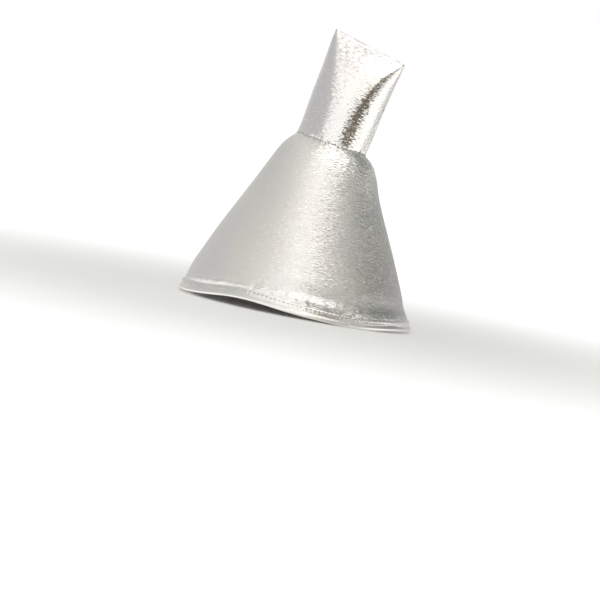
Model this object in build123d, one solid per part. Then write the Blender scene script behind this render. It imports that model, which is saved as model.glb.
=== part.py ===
from build123d import *
import os
from math import cos, radians, sin, tan

# Soft costume hat in the shape of a funnel: a foam-backed metallic cloth cone with a bound
# brim, and a leaning spout that is round where it is sewn to the cone and pressed flat at
# its closed top. Millimetres, +Z up, origin at the centre of the brim's resting face.
# -Y is the front, +X the side that the spout leans to.

# ---- driving dimensions -------------------------------------------------------------
BRIM_R = 81.9           # outside of the bound edge, at its widest
CONE_FOOT_R = 81.6      # cone's outer line, carried down to the resting face
CONE_HALF_ANGLE = 24.4
CROWN_Z = 118.0         # height of the seam between cone and spout
CROWN_SLOPE = 58.0      # shoulder's angle from vertical where it meets that seam
SHOULDER_BEND_R = 24.0

LAME_T = 0.5            # metallic outer cloth
FOAM_T = 4.0
LINING_T = 0.4
SEAM_GAP = 0.3          # between cut edges that are sewn edge to edge
LAYER_GAP = 0.1         # keeps curved layers from cutting into each other
THREAD_R = 0.3

WALL_FOOT_Z = 2.5       # cut edge of the cone wall, inside the binding

# the bound edge's section: each point's distance in from its outside, and its height
BINDING_H = 8.0
BINDING_WIDEST_Z = 2.0
BINDING_HEEL = (0.4, 0.6)
BINDING_REST = (1.5, 6.4)   # its flat underside, from and to
BINDING_TOE = (7.7, 0.9)
BINDING_INSIDE = (8.3, 2.6)
BINDING_INNER_T = 0.9       # its turned-in layer against the lining

CROWN_SHIFT = 3.3       # the soft cone leans, so its crown sits this far towards +X

SPOUT_LEAN = 11.3       # from vertical, towards +X
SPOUT_TURN = 10.0       # the flat top is turned this far about the spout's own axis
SPOUT_L = 72.5
SPOUT_TOP_W = 55.5
SPOUT_TOP_T = 4.4
SPOUT_SLANT = 5.5       # the top seam drops this much towards +X
SPOUT_FULLNESS = 3.0    # the higher, the nearer to its top the padded spout stays round
SPOUT_FOAM_T = 3.0
# shares of the spout's length, from its base to its flat top
SPOUT_STATIONS = (0.3, 0.5, 0.66, 0.78, 0.87, 0.94)   # where its section is drawn
PANEL_GAP = 0.004       # between the collar's upper edge and the panels
HOLLOW_OVERRUN = 0.01   # hollows start this much lower, to cut clean through the base
PANEL_HOLLOW_END = 0.985
FOAM_END = 0.95
FOAM_HOLLOW_END = 0.88
SIDE_THREAD_END = 0.94
TOP_THREAD_AT = 0.968
TOP_THREAD_MARGIN = 3.0     # millimetres from each top corner
COLLAR_L = 9.5          # unpadded cloth at the spout's base, which is where it bends

FLANGE_H = 7.0          # seam allowances turned down inside the crown
FIN_DEPTH = 7.0         # seam allowance standing inside the cone's back seam
FIN_T = 1.6
FIN_ABOVE_BRIM = 2.0
FIN_BELOW_SHOULDER = 6.0
STITCH_PITCH = 3.0
OVERLOCK_MARGIN = 2.0   # the overlock stops this far from each end of the allowance
CROWN_THREAD_DROP = 2.2     # the crown's thread lies this many thread radii below its seam

LOOP_BORE_R = 2.2       # eye of each ribbon loop that a chin elastic ties to
LOOP_RIBBON_W = 8.0
LOOP_RIBBON_T = 0.8
LOOP_CLEARANCE = 1.2    # between the eye and the binding, and the binding's own ease
LOOP_REST_Z = 1.5       # the eye hangs this far above the table
LOOP_TAIL = (1.5, 14.0)     # the tail lies on the lining from and to here, above the binding
LOOP_THICKENING = 0.1   # the tail overlaps the eye by this much, to join it
TACK_ABOVE_BRIM = 8.0
TACK_PITCH = 2.0
TACK_MARGIN = 1.0       # tacks stop this far from each edge of the ribbon

LABEL_W = 16.0
LABEL_H = 34.0
LABEL_T = 0.3
LABEL_ANGLE = 62.0      # about Z from +X, beside the back seam
LABEL_Z = 34.0
LABEL_MARGIN = 2.0      # its stitches lie this far below its upper edge

# ---- worked-out sizes ---------------------------------------------------------------
HALF_ANGLE = radians(CONE_HALF_ANGLE)
CROWN_ANGLE = radians(CROWN_SLOPE)
WALL_T = LAME_T + FOAM_T + LINING_T
SHOULDER_Z = CROWN_Z - SHOULDER_BEND_R * (sin(CROWN_ANGLE) - sin(HALF_ANGLE))


def cone_r(z, inset=0.0):
    """Radius of the cone's outer surface at height z, or of a layer inset from it."""
    return CONE_FOOT_R - z * tan(HALF_ANGLE) - inset / cos(HALF_ANGLE)


BEND_CENTRE_R = cone_r(SHOULDER_Z) - SHOULDER_BEND_R * cos(HALF_ANGLE)
BEND_CENTRE_Z = SHOULDER_Z - SHOULDER_BEND_R * sin(HALF_ANGLE)
CROWN_R = BEND_CENTRE_R + SHOULDER_BEND_R * cos(CROWN_ANGLE)
SPOUT_BASE_R = CROWN_R - LAYER_GAP


# ---- helpers ------------------------------------------------------------------------
LEAN = Matrix([
    [1, 0, CROWN_SHIFT / CROWN_Z, 0],
    [0, 1, 0, 0],
    [0, 0, 1, 0],
    [0, 0, 0, 1],
])


def leaning(piece):
    """Slide every height level of a cone piece towards +X, in proportion to its height."""
    return piece.transform_geometry(LEAN)


def lean_shift(z):
    """Place for a small piece at height z of the leaning cone."""
    return Pos(z * CROWN_SHIFT / CROWN_Z, 0, 0)


def turned(*edges):
    """Solid of revolution about Z from edges drawn as (radius, height)."""
    return revolve(Face(Wire(edges)), Axis.Z, 360)


def at(r, z):
    return Vector(r, 0, z)


def line(a, b):
    return Edge.make_line(at(*a), at(*b))


def arc(a, mid, b):
    return Edge.make_three_point_arc(at(*a), at(*mid), at(*b))


def ring(r_in, r_out, z_low, z_high):
    height = z_high - z_low
    outer = Cylinder(r_out, height, align=(Align.CENTER, Align.CENTER, Align.MIN))
    inner = Cylinder(r_in, height, align=(Align.CENTER, Align.CENTER, Align.MIN))
    return Pos(0, 0, z_low) * (outer - inner)


def bell(inset, foot_z):
    """Everything under the cone and its shoulder, inset by a layer's depth."""
    bend = SHOULDER_BEND_R - inset

    def on_bend(angle):
        return BEND_CENTRE_R + bend * cos(angle), BEND_CENTRE_Z + bend * sin(angle)

    foot = (cone_r(foot_z, inset), foot_z)
    shoulder = on_bend(HALF_ANGLE)
    middle = on_bend((HALF_ANGLE + CROWN_ANGLE) / 2)
    crown = on_bend(CROWN_ANGLE)
    return turned(
        line((0, foot_z), foot),
        line(foot, shoulder),
        arc(shoulder, middle, crown),
        line(crown, (0, crown[1])),
        line((0, crown[1]), (0, foot_z)),
    )


def cone_layer(outer_inset, inner_inset, hole_r, foot_z=WALL_FOOT_Z):
    """One layer of the cone wall, open at the crown and slit at the back seam."""
    layer = bell(outer_inset, foot_z) - bell(inner_inset, foot_z)
    layer -= Cylinder(hole_r, 3 * CROWN_Z)
    slit = Pos(0, BRIM_R / 2, CROWN_Z / 2) * Box(SEAM_GAP, BRIM_R, 2 * CROWN_Z)
    return layer - slit


def cone_patch(outer_inset, inner_inset, middle_z, width, height, angle):
    """A thin curved patch lying against the inside of the cone, at an angle about Z."""
    skin = bell(outer_inset, WALL_FOOT_Z) - bell(inner_inset, WALL_FOOT_Z)
    window = Pos(BRIM_R / 2, 0, middle_z) * Box(BRIM_R, width, height)
    return skin & (Rot(0, 0, angle) * window)


# ---- cone ---------------------------------------------------------------------------
def make_cone_shell():
    """Lame cloth, with its seam allowance turned down inside the crown."""
    flange = ring(CROWN_R, CROWN_R + LAME_T, CROWN_Z - FLANGE_H, CROWN_Z) & bell(0, 0)
    return leaning(cone_layer(0, LAME_T, CROWN_R) + flange)


def make_cone_foam():
    return leaning(cone_layer(LAME_T, LAME_T + FOAM_T, CROWN_R + 2 * LAME_T))


def make_cone_lining():
    return leaning(cone_layer(LAME_T + FOAM_T, WALL_T, CROWN_R + 2 * LAME_T))


def fin_plane_y(z, depth):
    """Distance of the back seam's fin from Z, at a depth inwards from the lining."""
    return cone_r(z, WALL_T + LAYER_GAP + depth)


def make_back_seam_allowance():
    """The panel's two turned-in edges, standing inside the cone along the back seam."""
    low = BINDING_H + FIN_ABOVE_BRIM
    high = SHOULDER_Z - FIN_BELOW_SHOULDER
    corners = [
        (0, fin_plane_y(low, 0), low),
        (0, fin_plane_y(high, 0), high),
        (0, fin_plane_y(high, FIN_DEPTH), high),
        (0, fin_plane_y(low, FIN_DEPTH), low),
    ]
    side = Face(Wire.make_polygon(corners))
    leaves = []
    for direction in (-1, 1):
        leaf = Solid.extrude(side, Vector(direction * FIN_T, 0, 0))
        leaves.append(Pos(direction * SEAM_GAP / 2, 0, 0) * leaf)
    return leaning(Compound(leaves))


def make_back_seam_thread():
    """Overlock stitches that wrap the free edge of the back seam's allowances."""
    low = BINDING_H + FIN_ABOVE_BRIM + OVERLOCK_MARGIN
    high = SHOULDER_Z - FIN_BELOW_SHOULDER - OVERLOCK_MARGIN
    count = int((high - low) / STITCH_PITCH)
    bar = Box(2 * FIN_T + SEAM_GAP, 2 * THREAD_R, 2 * THREAD_R)
    stitches = []
    for i in range(count):
        z = low + i * STITCH_PITCH
        y = fin_plane_y(z, FIN_DEPTH + 2 * THREAD_R + LAYER_GAP)
        stitches.append(lean_shift(z) * Pos(0, y, z) * bar)
    return Compound(stitches)


# ---- brim ---------------------------------------------------------------------------
def make_brim_binding():
    """Lame strip folded round the cone's cut edge, filled by its own turnings."""
    def inwards(point):
        return BRIM_R - point[0], point[1]

    top_out = (cone_r(BINDING_H) + LAME_T, BINDING_H)
    waist = (BRIM_R - 2 * LAME_T, (BINDING_H + BINDING_WIDEST_Z) / 2)
    widest = (BRIM_R, BINDING_WIDEST_Z)
    rest_out = (BRIM_R - BINDING_REST[0], 0)
    rest_in = (BRIM_R - BINDING_REST[1], 0)
    inside = inwards(BINDING_INSIDE)
    top_in = (cone_r(BINDING_H, WALL_T) - BINDING_INNER_T, BINDING_H)
    strip = turned(
        arc(top_out, waist, widest),
        arc(widest, inwards(BINDING_HEEL), rest_out),
        line(rest_out, rest_in),
        arc(rest_in, inwards(BINDING_TOE), inside),
        line(inside, top_in),
        line(top_in, top_out),
    )
    wall = bell(0, WALL_FOOT_Z) - bell(WALL_T, WALL_FOOT_Z)
    return strip - leaning(wall)


def make_binding_thread():
    """Top-stitching, lying in the groove above the binding's upper fold."""
    out = THREAD_R + LAYER_GAP
    z = BINDING_H + 2 * THREAD_R
    thread = Pos(0, 0, z) * Torus(cone_r(z) + out / cos(HALF_ANGLE), THREAD_R)
    return lean_shift(z) * thread


# ---- crown seam ---------------------------------------------------------------------
def make_crown_seam_thread():
    """Hand stitching in the corner between the shoulder and the spout."""
    angle = CROWN_ANGLE - CROWN_THREAD_DROP * THREAD_R / SHOULDER_BEND_R
    reach = SHOULDER_BEND_R + THREAD_R + LAYER_GAP / 2
    r = BEND_CENTRE_R + reach * cos(angle)
    z = BEND_CENTRE_Z + reach * sin(angle)
    return lean_shift(z) * Pos(0, 0, z) * Torus(r, THREAD_R)


# ---- spout --------------------------------------------------------------------------
SPOUT_FOOT = Vector(CROWN_SHIFT, 0, CROWN_Z)
SPOUT_AXIS = Vector(sin(radians(SPOUT_LEAN)), 0, cos(radians(SPOUT_LEAN)))
ACROSS = Vector(cos(radians(SPOUT_LEAN)), 0, -sin(radians(SPOUT_LEAN)))
WIDE = ACROSS.rotate(Axis((0, 0, 0), SPOUT_AXIS), -SPOUT_TURN)
THIN = SPOUT_AXIS.cross(WIDE)
COLLAR_SHARE = COLLAR_L / SPOUT_L


def half_width(share):
    return SPOUT_BASE_R + share * (SPOUT_TOP_W / 2 - SPOUT_BASE_R)


def half_depth(share):
    """Round for the lower half, then closing ever faster towards the flat top seam."""
    closing = 1 - share**SPOUT_FULLNESS
    return SPOUT_TOP_T / 2 + closing * (SPOUT_BASE_R - SPOUT_TOP_T / 2)


def spout_plane(share):
    """Plane of the spout's section at a share of its length: level at the crown seam."""
    slant = SPOUT_SLANT * share - SPOUT_LEAN * (1 - share) ** 3
    across = WIDE.rotate(Axis((0, 0, 0), THIN), slant)
    normal = SPOUT_AXIS.rotate(Axis((0, 0, 0), THIN), slant)
    return Plane(SPOUT_FOOT + SPOUT_AXIS * (share * SPOUT_L), across, normal)


def spout_section(share, inset=0.0):
    wide, deep = half_width(share) - inset, half_depth(share) - inset
    return spout_plane(share) * Ellipse(wide, deep)


def spout_form(inset, first, last):
    """Lofted solid inside the spout's outer surface, between two shares of its length."""
    stations = [s for s in SPOUT_STATIONS if first < s < last]
    return loft([spout_section(s, inset) for s in (first, *stations, last)])


def spout_half(form, front, gap):
    """The half of a form on one side of the plane through both side seams."""
    side = 1 if front else -1
    reach = 2 * SPOUT_L
    block = Box(reach, reach, reach, align=(Align.CENTER, Align.MIN, Align.CENTER))
    seam_plane = Plane(SPOUT_FOOT, x_dir=WIDE, z_dir=SPOUT_AXIS)
    if side > 0:
        block = Rot(0, 0, 180) * block
    offset = -side * gap / 2
    return form & (seam_plane * Pos(0, offset, 0) * block)


def make_spout_panel(front):
    """One of the spout's two lame panels, closed at the top seam."""
    outer = spout_form(0, COLLAR_SHARE + PANEL_GAP, 1)
    hollow = spout_form(LAME_T, COLLAR_SHARE - HOLLOW_OVERRUN, PANEL_HOLLOW_END)
    return spout_half(outer - hollow, front, SEAM_GAP)


def make_spout_foam(front):
    """Foam backing of one spout panel."""
    outer = spout_form(LAME_T + LAYER_GAP, COLLAR_SHARE + PANEL_GAP, FOAM_END)
    hollow = spout_form(LAME_T + SPOUT_FOAM_T, COLLAR_SHARE - HOLLOW_OVERRUN, FOAM_HOLLOW_END)
    return spout_half(outer - hollow, front, 4 * SEAM_GAP)


def rod(start, end, radius):
    along = end - start
    bar = Cylinder(radius, along.length, align=(Align.CENTER, Align.CENTER, Align.MIN))
    return Plane(origin=start, z_dir=along) * bar


def make_spout_side_thread():
    """Seam thread down both sides, between the foam's edges."""
    depth = LAME_T + 2 * THREAD_R
    rods = []
    for side in (-1, 1):
        ends = []
        for share in (COLLAR_SHARE + HOLLOW_OVERRUN, SIDE_THREAD_END):
            plane = spout_plane(share)
            ends.append(plane.origin + plane.x_dir * side * (half_width(share) - depth))
        rods.append(rod(ends[0], ends[1], THREAD_R))
    return Compound(rods)


def make_spout_top_thread():
    """Seam thread along the flat top, between the foam's edge and the fold."""
    plane = spout_plane(TOP_THREAD_AT)
    reach = half_width(TOP_THREAD_AT) - TOP_THREAD_MARGIN
    return rod(plane.origin - plane.x_dir * reach, plane.origin + plane.x_dir * reach, THREAD_R)


def make_spout_collar():
    """Unpadded cloth between the crown seam and the padded spout, with its allowance."""
    foot = Plane(SPOUT_FOOT)

    def sleeve(inset):
        base = foot * Circle(SPOUT_BASE_R - inset)
        return loft([base, spout_section(COLLAR_SHARE, inset)])

    skirt = ring(SPOUT_BASE_R - LAME_T, SPOUT_BASE_R, CROWN_Z - FLANGE_H, CROWN_Z)
    return (sleeve(0) - sleeve(LAME_T)) + leaning(skirt)


# ---- inside trim --------------------------------------------------------------------
def make_elastic_loop(side):
    """Ribbon loop inside the brim: a round eye with its tail up the lining."""
    wall = cone_r(BINDING_H, WALL_T) - LOOP_CLEARANCE
    outer_r = LOOP_BORE_R + LOOP_RIBBON_T
    eye_x, eye_z = wall - outer_r - LOOP_CLEARANCE, outer_r + LOOP_REST_Z
    tail_low, tail_high = BINDING_H + LOOP_TAIL[0], BINDING_H + LOOP_TAIL[1]
    out = WALL_T + 3 * LAYER_GAP
    tail = Face(Wire.make_polygon([
        at(eye_x + LOOP_BORE_R + LOOP_THICKENING, eye_z),
        at(eye_x + outer_r, eye_z),
        at(cone_r(tail_low, out), tail_low),
        at(cone_r(tail_high, out), tail_high),
        at(cone_r(tail_high, out + LOOP_RIBBON_T), tail_high),
        at(cone_r(tail_low, out + LOOP_RIBBON_T), tail_low),
    ]))
    ribbon = Solid.extrude(tail, Vector(0, LOOP_RIBBON_W, 0))
    across = Plane(origin=(eye_x, 0, eye_z), x_dir=(1, 0, 0), z_dir=(0, 1, 0))
    width = (Align.CENTER, Align.CENTER, Align.MIN)
    eye = across * Cylinder(outer_r, LOOP_RIBBON_W, align=width)
    bore = across * Cylinder(LOOP_BORE_R, LOOP_RIBBON_W, align=width)
    loop = Pos(0, -LOOP_RIBBON_W / 2, 0) * (ribbon + eye - bore)
    if side < 0:
        loop = Rot(0, 0, 180) * loop
    return leaning(loop)


def make_loop_thread():
    """Bar tacks that hold both ribbon tails to the lining."""
    z = BINDING_H + TACK_ABOVE_BRIM
    depth = WALL_T + 3 * LAYER_GAP + LOOP_RIBBON_T + LAYER_GAP + THREAD_R
    bar = Box(2 * THREAD_R, LOOP_RIBBON_W - 2 * TACK_MARGIN, 2 * THREAD_R)
    tacks = []
    for side in (-1, 1):
        for step in (-1, 0, 1):
            height = z + TACK_PITCH * step
            tacks.append(lean_shift(height) * Pos(side * cone_r(height, depth), 0, height) * bar)
    return Compound(tacks)


def make_care_label():
    depth = WALL_T + LAYER_GAP
    label = cone_patch(depth, depth + LABEL_T, LABEL_Z, LABEL_W, LABEL_H, LABEL_ANGLE)
    return leaning(label)


def make_label_thread():
    """One row of stitches along the label's upper edge."""
    depth = WALL_T + 2 * LAYER_GAP + LABEL_T
    row_z = LABEL_Z + LABEL_H / 2 - LABEL_MARGIN
    row_w = LABEL_W - LABEL_MARGIN
    row = cone_patch(depth, depth + THREAD_R, row_z, row_w, 2 * THREAD_R, LABEL_ANGLE)
    return leaning(row)


# ---- write --------------------------------------------------------------------------
PIECES = {
    "cone_shell": make_cone_shell(),
    "cone_foam": make_cone_foam(),
    "cone_lining": make_cone_lining(),
    "back_seam_allowance": make_back_seam_allowance(),
    "back_seam_thread": make_back_seam_thread(),
    "brim_binding": make_brim_binding(),
    "binding_thread": make_binding_thread(),
    "crown_seam_thread": make_crown_seam_thread(),
    "elastic_loop_left": make_elastic_loop(-1),
    "elastic_loop_right": make_elastic_loop(1),
    "loop_thread": make_loop_thread(),
    "care_label": make_care_label(),
    "label_thread": make_label_thread(),
    "spout_collar": make_spout_collar(),
    "spout_front_panel": make_spout_panel(True),
    "spout_back_panel": make_spout_panel(False),
    "spout_front_foam": make_spout_foam(True),
    "spout_back_foam": make_spout_foam(False),
    "spout_side_thread": make_spout_side_thread(),
    "spout_top_thread": make_spout_top_thread(),
}

os.makedirs("parts", exist_ok=True)
for name, piece in PIECES.items():
    export_step(piece, f"parts/{name}.step")
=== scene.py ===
"""Looks of the funnel-shaped party hat: silver foil cloth on foam, built round the CAD frame.

Every size is in metres. The cloth pieces are grids of points with a thickness, so that each
is one closed mesh, and their folds, puckers and stitches are real geometry. The finer weave
and crinkle come from the materials.
"""

import math

import bpy
import numpy as np
from mathutils import Matrix, Vector, noise


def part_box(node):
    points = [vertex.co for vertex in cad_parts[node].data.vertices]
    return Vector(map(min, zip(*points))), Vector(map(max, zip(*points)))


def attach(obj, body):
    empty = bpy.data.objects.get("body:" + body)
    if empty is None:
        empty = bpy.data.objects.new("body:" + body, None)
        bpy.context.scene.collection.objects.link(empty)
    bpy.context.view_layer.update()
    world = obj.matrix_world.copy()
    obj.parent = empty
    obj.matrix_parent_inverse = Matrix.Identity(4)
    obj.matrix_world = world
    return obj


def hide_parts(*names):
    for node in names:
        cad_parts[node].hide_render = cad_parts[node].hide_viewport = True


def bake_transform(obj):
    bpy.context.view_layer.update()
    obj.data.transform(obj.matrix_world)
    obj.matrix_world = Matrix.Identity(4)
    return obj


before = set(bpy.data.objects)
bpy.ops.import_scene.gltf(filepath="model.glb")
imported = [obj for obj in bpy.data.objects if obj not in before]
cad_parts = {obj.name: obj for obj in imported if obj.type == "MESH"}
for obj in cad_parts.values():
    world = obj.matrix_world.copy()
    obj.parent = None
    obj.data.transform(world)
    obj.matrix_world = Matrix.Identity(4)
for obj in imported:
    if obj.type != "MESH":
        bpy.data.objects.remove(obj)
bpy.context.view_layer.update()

MM = 0.001
TURN = 2 * math.pi

# ---- places from the frame ----------------------------------------------------------
shell_low, shell_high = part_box("cone_shell")
brim_low, brim_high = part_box("brim_binding")
crown_low, crown_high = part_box("crown_seam_thread")
top_low, top_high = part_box("spout_top_thread")
label_low, label_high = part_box("care_label")
fin_low, fin_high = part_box("back_seam_allowance")

BRIM_R = (brim_high[0] - brim_low[0]) / 2
FOOT_R = (shell_high[0] - shell_low[0]) / 2
FOOT_Z = shell_low[2]
CROWN_X = (crown_low[0] + crown_high[0]) / 2
CROWN_Z = crown_low[2]

# ---- the cone's outline, as in the CAD ----------------------------------------------
HALF_ANGLE = math.radians(24.4)
CROWN_ANGLE = math.radians(58)
SHOULDER_BEND = 24 * MM
SHOULDER_Z = CROWN_Z - SHOULDER_BEND * (math.sin(CROWN_ANGLE) - math.sin(HALF_ANGLE))
LINE_L = (SHOULDER_Z - FOOT_Z) / math.cos(HALF_ANGLE)
BEND_L = SHOULDER_BEND * (CROWN_ANGLE - HALF_ANGLE)
WALL_L = LINE_L + BEND_L
BEND_CENTRE_R = FOOT_R - LINE_L * math.sin(HALF_ANGLE) - SHOULDER_BEND * math.cos(HALF_ANGLE)
BEND_CENTRE_Z = SHOULDER_Z - SHOULDER_BEND * math.sin(HALF_ANGLE)
CROWN_R = BEND_CENTRE_R + SHOULDER_BEND * math.cos(CROWN_ANGLE)

BINDING_TOP = 7.0 * MM   # upper edge of the bound strip, outside
STITCHES = 168           # of the binding, all round the brim
LAME_T = 0.5 * MM
FOAM_T = 4.0 * MM
LINING_T = 0.4 * MM
WALL_T = LAME_T + FOAM_T + LINING_T
SWAY = 2.3 * MM          # the wall bulges this far towards -X, between brim and crown
PUFF = 0.9 * MM          # and its padding stands this far off the plain cone
CROWN_TILT = math.radians(8)


# ---- small helpers ------------------------------------------------------------------
NOISE_GAIN = 1.6    # brings the noise to about -1 to 1
PLANE_STEP = 7.3    # seeds lie this far apart in the noise, on a flat piece,
WALL_STEP = 11.7    # on the cone's wall
RING_STEP = 5.1     # and round a ring


def smooth(x, low=0.0, high=1.0):
    """0 below low, 1 above high, with an even ease between them."""
    t = np.clip((x - low) / (high - low), 0, 1)
    return t * t * (3 - 2 * t)


def noise_at(x, y, z):
    """Smooth noise at arrays of places."""
    x, y, z = np.broadcast_arrays(x, y, z)
    values = [noise.noise(Vector(place)) for place in zip(x.ravel(), y.ravel(), z.ravel())]
    return np.array(values).reshape(x.shape) * NOISE_GAIN


def ripple(u, v, length_u, length_v, seed):
    """Noise over a flat piece, with bumps length_u by length_v."""
    return noise_at(u / length_u, v / length_v, PLANE_STEP * seed)


def around_wall(theta, s, length_u, length_v, seed):
    """Noise over the cone's wall, joining up where the ring closes."""
    scale = FOOT_R / length_u
    return noise_at(scale * np.cos(theta), scale * np.sin(theta), WALL_STEP * seed + s / length_v)


def around(theta, length, seed, radius=BRIM_R):
    """Noise along a closed ring, with bumps of about the given length."""
    scale = radius / length
    return noise_at(scale * np.cos(theta), scale * np.sin(theta), RING_STEP * seed)


def sample(line, places, wanted):
    """Points of a line, known at some places along it, at the wanted places."""
    return np.stack([np.interp(wanted, places, line[:, k]) for k in range(line.shape[1])], axis=1)


def evenly(line, count):
    """The same line with evenly spaced points."""
    steps = np.concatenate([[0], np.cumsum(np.linalg.norm(np.diff(line, axis=0), axis=1))])
    return sample(line, steps, np.linspace(0, steps[-1], count))


def up_wall(z):
    """Distance up the cone's straight wall to height z."""
    return (z - FOOT_Z) / math.cos(HALF_ANGLE)


def grid_normals(grid, closed):
    """Unit normals of a grid of points; closed says that its columns join into a ring."""
    if closed:
        along_u = np.roll(grid, -1, axis=1) - np.roll(grid, 1, axis=1)
    else:
        along_u = np.gradient(grid, axis=1)
    along_v = np.gradient(grid, axis=0)
    normals = np.cross(along_u, along_v)
    length = np.linalg.norm(normals, axis=2, keepdims=True)
    return normals / np.maximum(length, 1e-12)


def grid_uv(grid):
    """Real distances along the cloth, in metres, for its weave."""
    steps_u = np.linalg.norm(np.diff(grid, axis=1), axis=2)
    steps_v = np.linalg.norm(np.diff(grid, axis=0), axis=2)
    u = np.concatenate([np.zeros((len(grid), 1)), np.cumsum(steps_u, axis=1)], axis=1)
    u -= u.mean(axis=1, keepdims=True)
    rows = np.concatenate([[0], np.cumsum(steps_v.mean(axis=1))])
    v = np.repeat(rows[:, None], grid.shape[1], axis=1)
    return np.stack([u, v], axis=2)


def mesh_object(name, points, faces, uvs=None, attributes=None):
    """A mesh with smooth faces; uvs and attributes hold one value for each point."""
    mesh = bpy.data.meshes.new(name)
    mesh.from_pydata([tuple(p) for p in points], [], [tuple(f) for f in faces])
    mesh.polygons.foreach_set("use_smooth", [True] * len(mesh.polygons))
    if uvs is not None:
        corners = np.zeros(len(mesh.loops), int)
        mesh.loops.foreach_get("vertex_index", corners)
        layer = mesh.uv_layers.new(name="cloth")
        layer.data.foreach_set("uv", np.asarray(uvs, float)[corners].ravel())
    for key, values in (attributes or {}).items():
        layer = mesh.attributes.new(key, "FLOAT", "POINT")
        layer.data.foreach_set("value", np.asarray(values, np.float32).ravel())
    mesh.update()
    obj = bpy.data.objects.new(name, mesh)
    bpy.context.scene.collection.objects.link(obj)
    return obj


def cloth(name, grid, thickness, closed=False, outward=1, attributes=None, uv=None):
    """One closed mesh from a grid of points on the cloth's outer face.

    The inner face lies at the thickness behind it, and the cut edges are closed.
    """
    uv = grid_uv(grid) if uv is None else uv
    normals = grid_normals(grid, closed) * outward
    inner = grid - normals * thickness
    rows, columns = grid.shape[:2]
    count = rows * columns
    index = np.arange(count).reshape(rows, columns)
    wrap = columns if closed else columns - 1
    right = (np.arange(wrap) + 1) % columns
    left = np.arange(wrap)
    a = index[:-1][:, left]
    b = index[:-1][:, right]
    c = index[1:][:, right]
    d = index[1:][:, left]
    outer_faces = np.stack([a, b, c, d], axis=2).reshape(-1, 4)
    inner_faces = outer_faces[:, ::-1] + count

    def rim(along, back):
        return np.stack([back, along, along + count, back + count], axis=1)

    rims = [rim(index[0, left], index[0, right]), rim(index[-1, right], index[-1, left])]
    if not closed:
        rims.append(rim(index[1:, 0], index[:-1, 0]))
        rims.append(rim(index[:-1, -1], index[1:, -1]))
    faces = np.concatenate([outer_faces, inner_faces, *rims])
    if outward < 0:
        faces = faces[:, ::-1]
    points = np.concatenate([grid.reshape(-1, 3), inner.reshape(-1, 3)])
    uv = uv.reshape(-1, 2)
    both = {k: np.tile(np.asarray(v).ravel(), 2) for k, v in (attributes or {}).items()}
    return mesh_object(name, points, faces, np.tile(uv, (2, 1)), both)


def tube_points(path, radius, sides, up):
    """Rings of points round a path; up is a direction across it, at each of its points."""
    path = np.asarray(path, float)
    tangents = np.gradient(path, axis=0)
    tangents /= np.linalg.norm(tangents, axis=1, keepdims=True)
    guide = np.asarray(up, float)
    side = np.cross(tangents, guide)
    side /= np.maximum(np.linalg.norm(side, axis=1, keepdims=True), 1e-9)
    lift = np.cross(side, tangents)
    turn = np.arange(sides) * TURN / sides
    radius = np.broadcast_to(radius, len(path))
    rings = (
        path[:, None, :]
        + side[:, None, :] * (np.cos(turn)[None, :, None] * radius[:, None, None])
        + lift[:, None, :] * (np.sin(turn)[None, :, None] * radius[:, None, None])
    )
    return rings


def tubes(name, rings_list):
    """One mesh of separate closed tubes, each with its two ends capped."""
    points, faces, uvs = [], [], []
    for rings in rings_list:
        start = sum(len(p) for p in points)
        rows, sides = rings.shape[:2]
        points.append(rings.reshape(-1, 3))
        length = np.linalg.norm(np.diff(rings.mean(axis=1), axis=0), axis=1)
        along = np.concatenate([[0], np.cumsum(length)])
        u = np.repeat(along[:, None], sides, axis=1)
        v = np.repeat(np.linspace(0, 1, sides)[None, :], rows, axis=0) * MM
        uvs.append(np.stack([u, v], axis=2).reshape(-1, 2))
        for i in range(rows - 1):
            for j in range(sides):
                k = (j + 1) % sides
                a, b = start + i * sides + j, start + i * sides + k
                faces.append((a, b, b + sides, a + sides))
        faces.append(tuple(start + j for j in reversed(range(sides))))
        last = start + (rows - 1) * sides
        faces.append(tuple(last + j for j in range(sides)))
    return mesh_object(name, np.concatenate(points), faces, np.concatenate(uvs))


# ---- material nodes -----------------------------------------------------------------
class Nodes:
    """Short names for building a tree of shader nodes."""

    def __init__(self, tree):
        self.tree = tree

    def node(self, kind, inputs=None, **settings):
        """A new node; each input is given as a plain value or as another node's output."""
        made = self.tree.nodes.new(kind)
        for key, value in settings.items():
            setattr(made, key, value)
        for key, value in (inputs or {}).items():
            if isinstance(value, bpy.types.NodeSocket):
                self.tree.links.new(value, made.inputs[key])
            else:
                made.inputs[key].default_value = value
        return made

    def math(self, operation, a, b=0.5):
        return self.node("ShaderNodeMath", {0: a, 1: b}, operation=operation).outputs[0]

    def ease(self, value, low, high):
        """0 at low, 1 at high, with an even ease between them."""
        inputs = {"Value": value, "From Min": low, "From Max": high}
        made = self.node("ShaderNodeMapRange", inputs, interpolation_type="SMOOTHSTEP")
        return made.outputs["Result"]


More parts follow.
